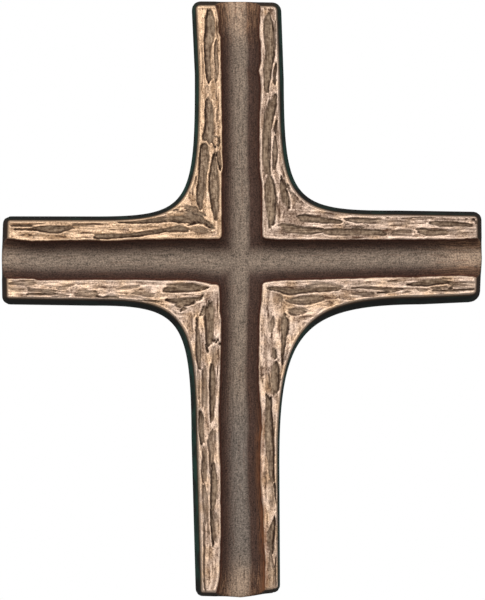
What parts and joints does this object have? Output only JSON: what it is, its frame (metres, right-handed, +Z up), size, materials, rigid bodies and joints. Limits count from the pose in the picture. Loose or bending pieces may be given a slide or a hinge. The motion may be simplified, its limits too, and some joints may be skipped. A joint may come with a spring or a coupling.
{
  "type": "bronze memorial cross",
  "caption": "Cast bronze cross with flaring arms, a round channel along and across its front, gouged bark-like panels beside it and a flat back.",
  "frame": {"origin": "on the flat back, behind the middle of the crossing", "axes": "+Z up along the upright, +X to the right as seen from the front, +Y from the front out through the back, into the wall"},
  "size_m": [0.1612, 0.012, 0.2001],
  "materials": {
    "bronze": "cast bronze with a dark brown patina, rubbed bright on the ridges"
  },
  "bodies": {
    "root": {"cross": "bronze"}
  },
  "joints": []
}
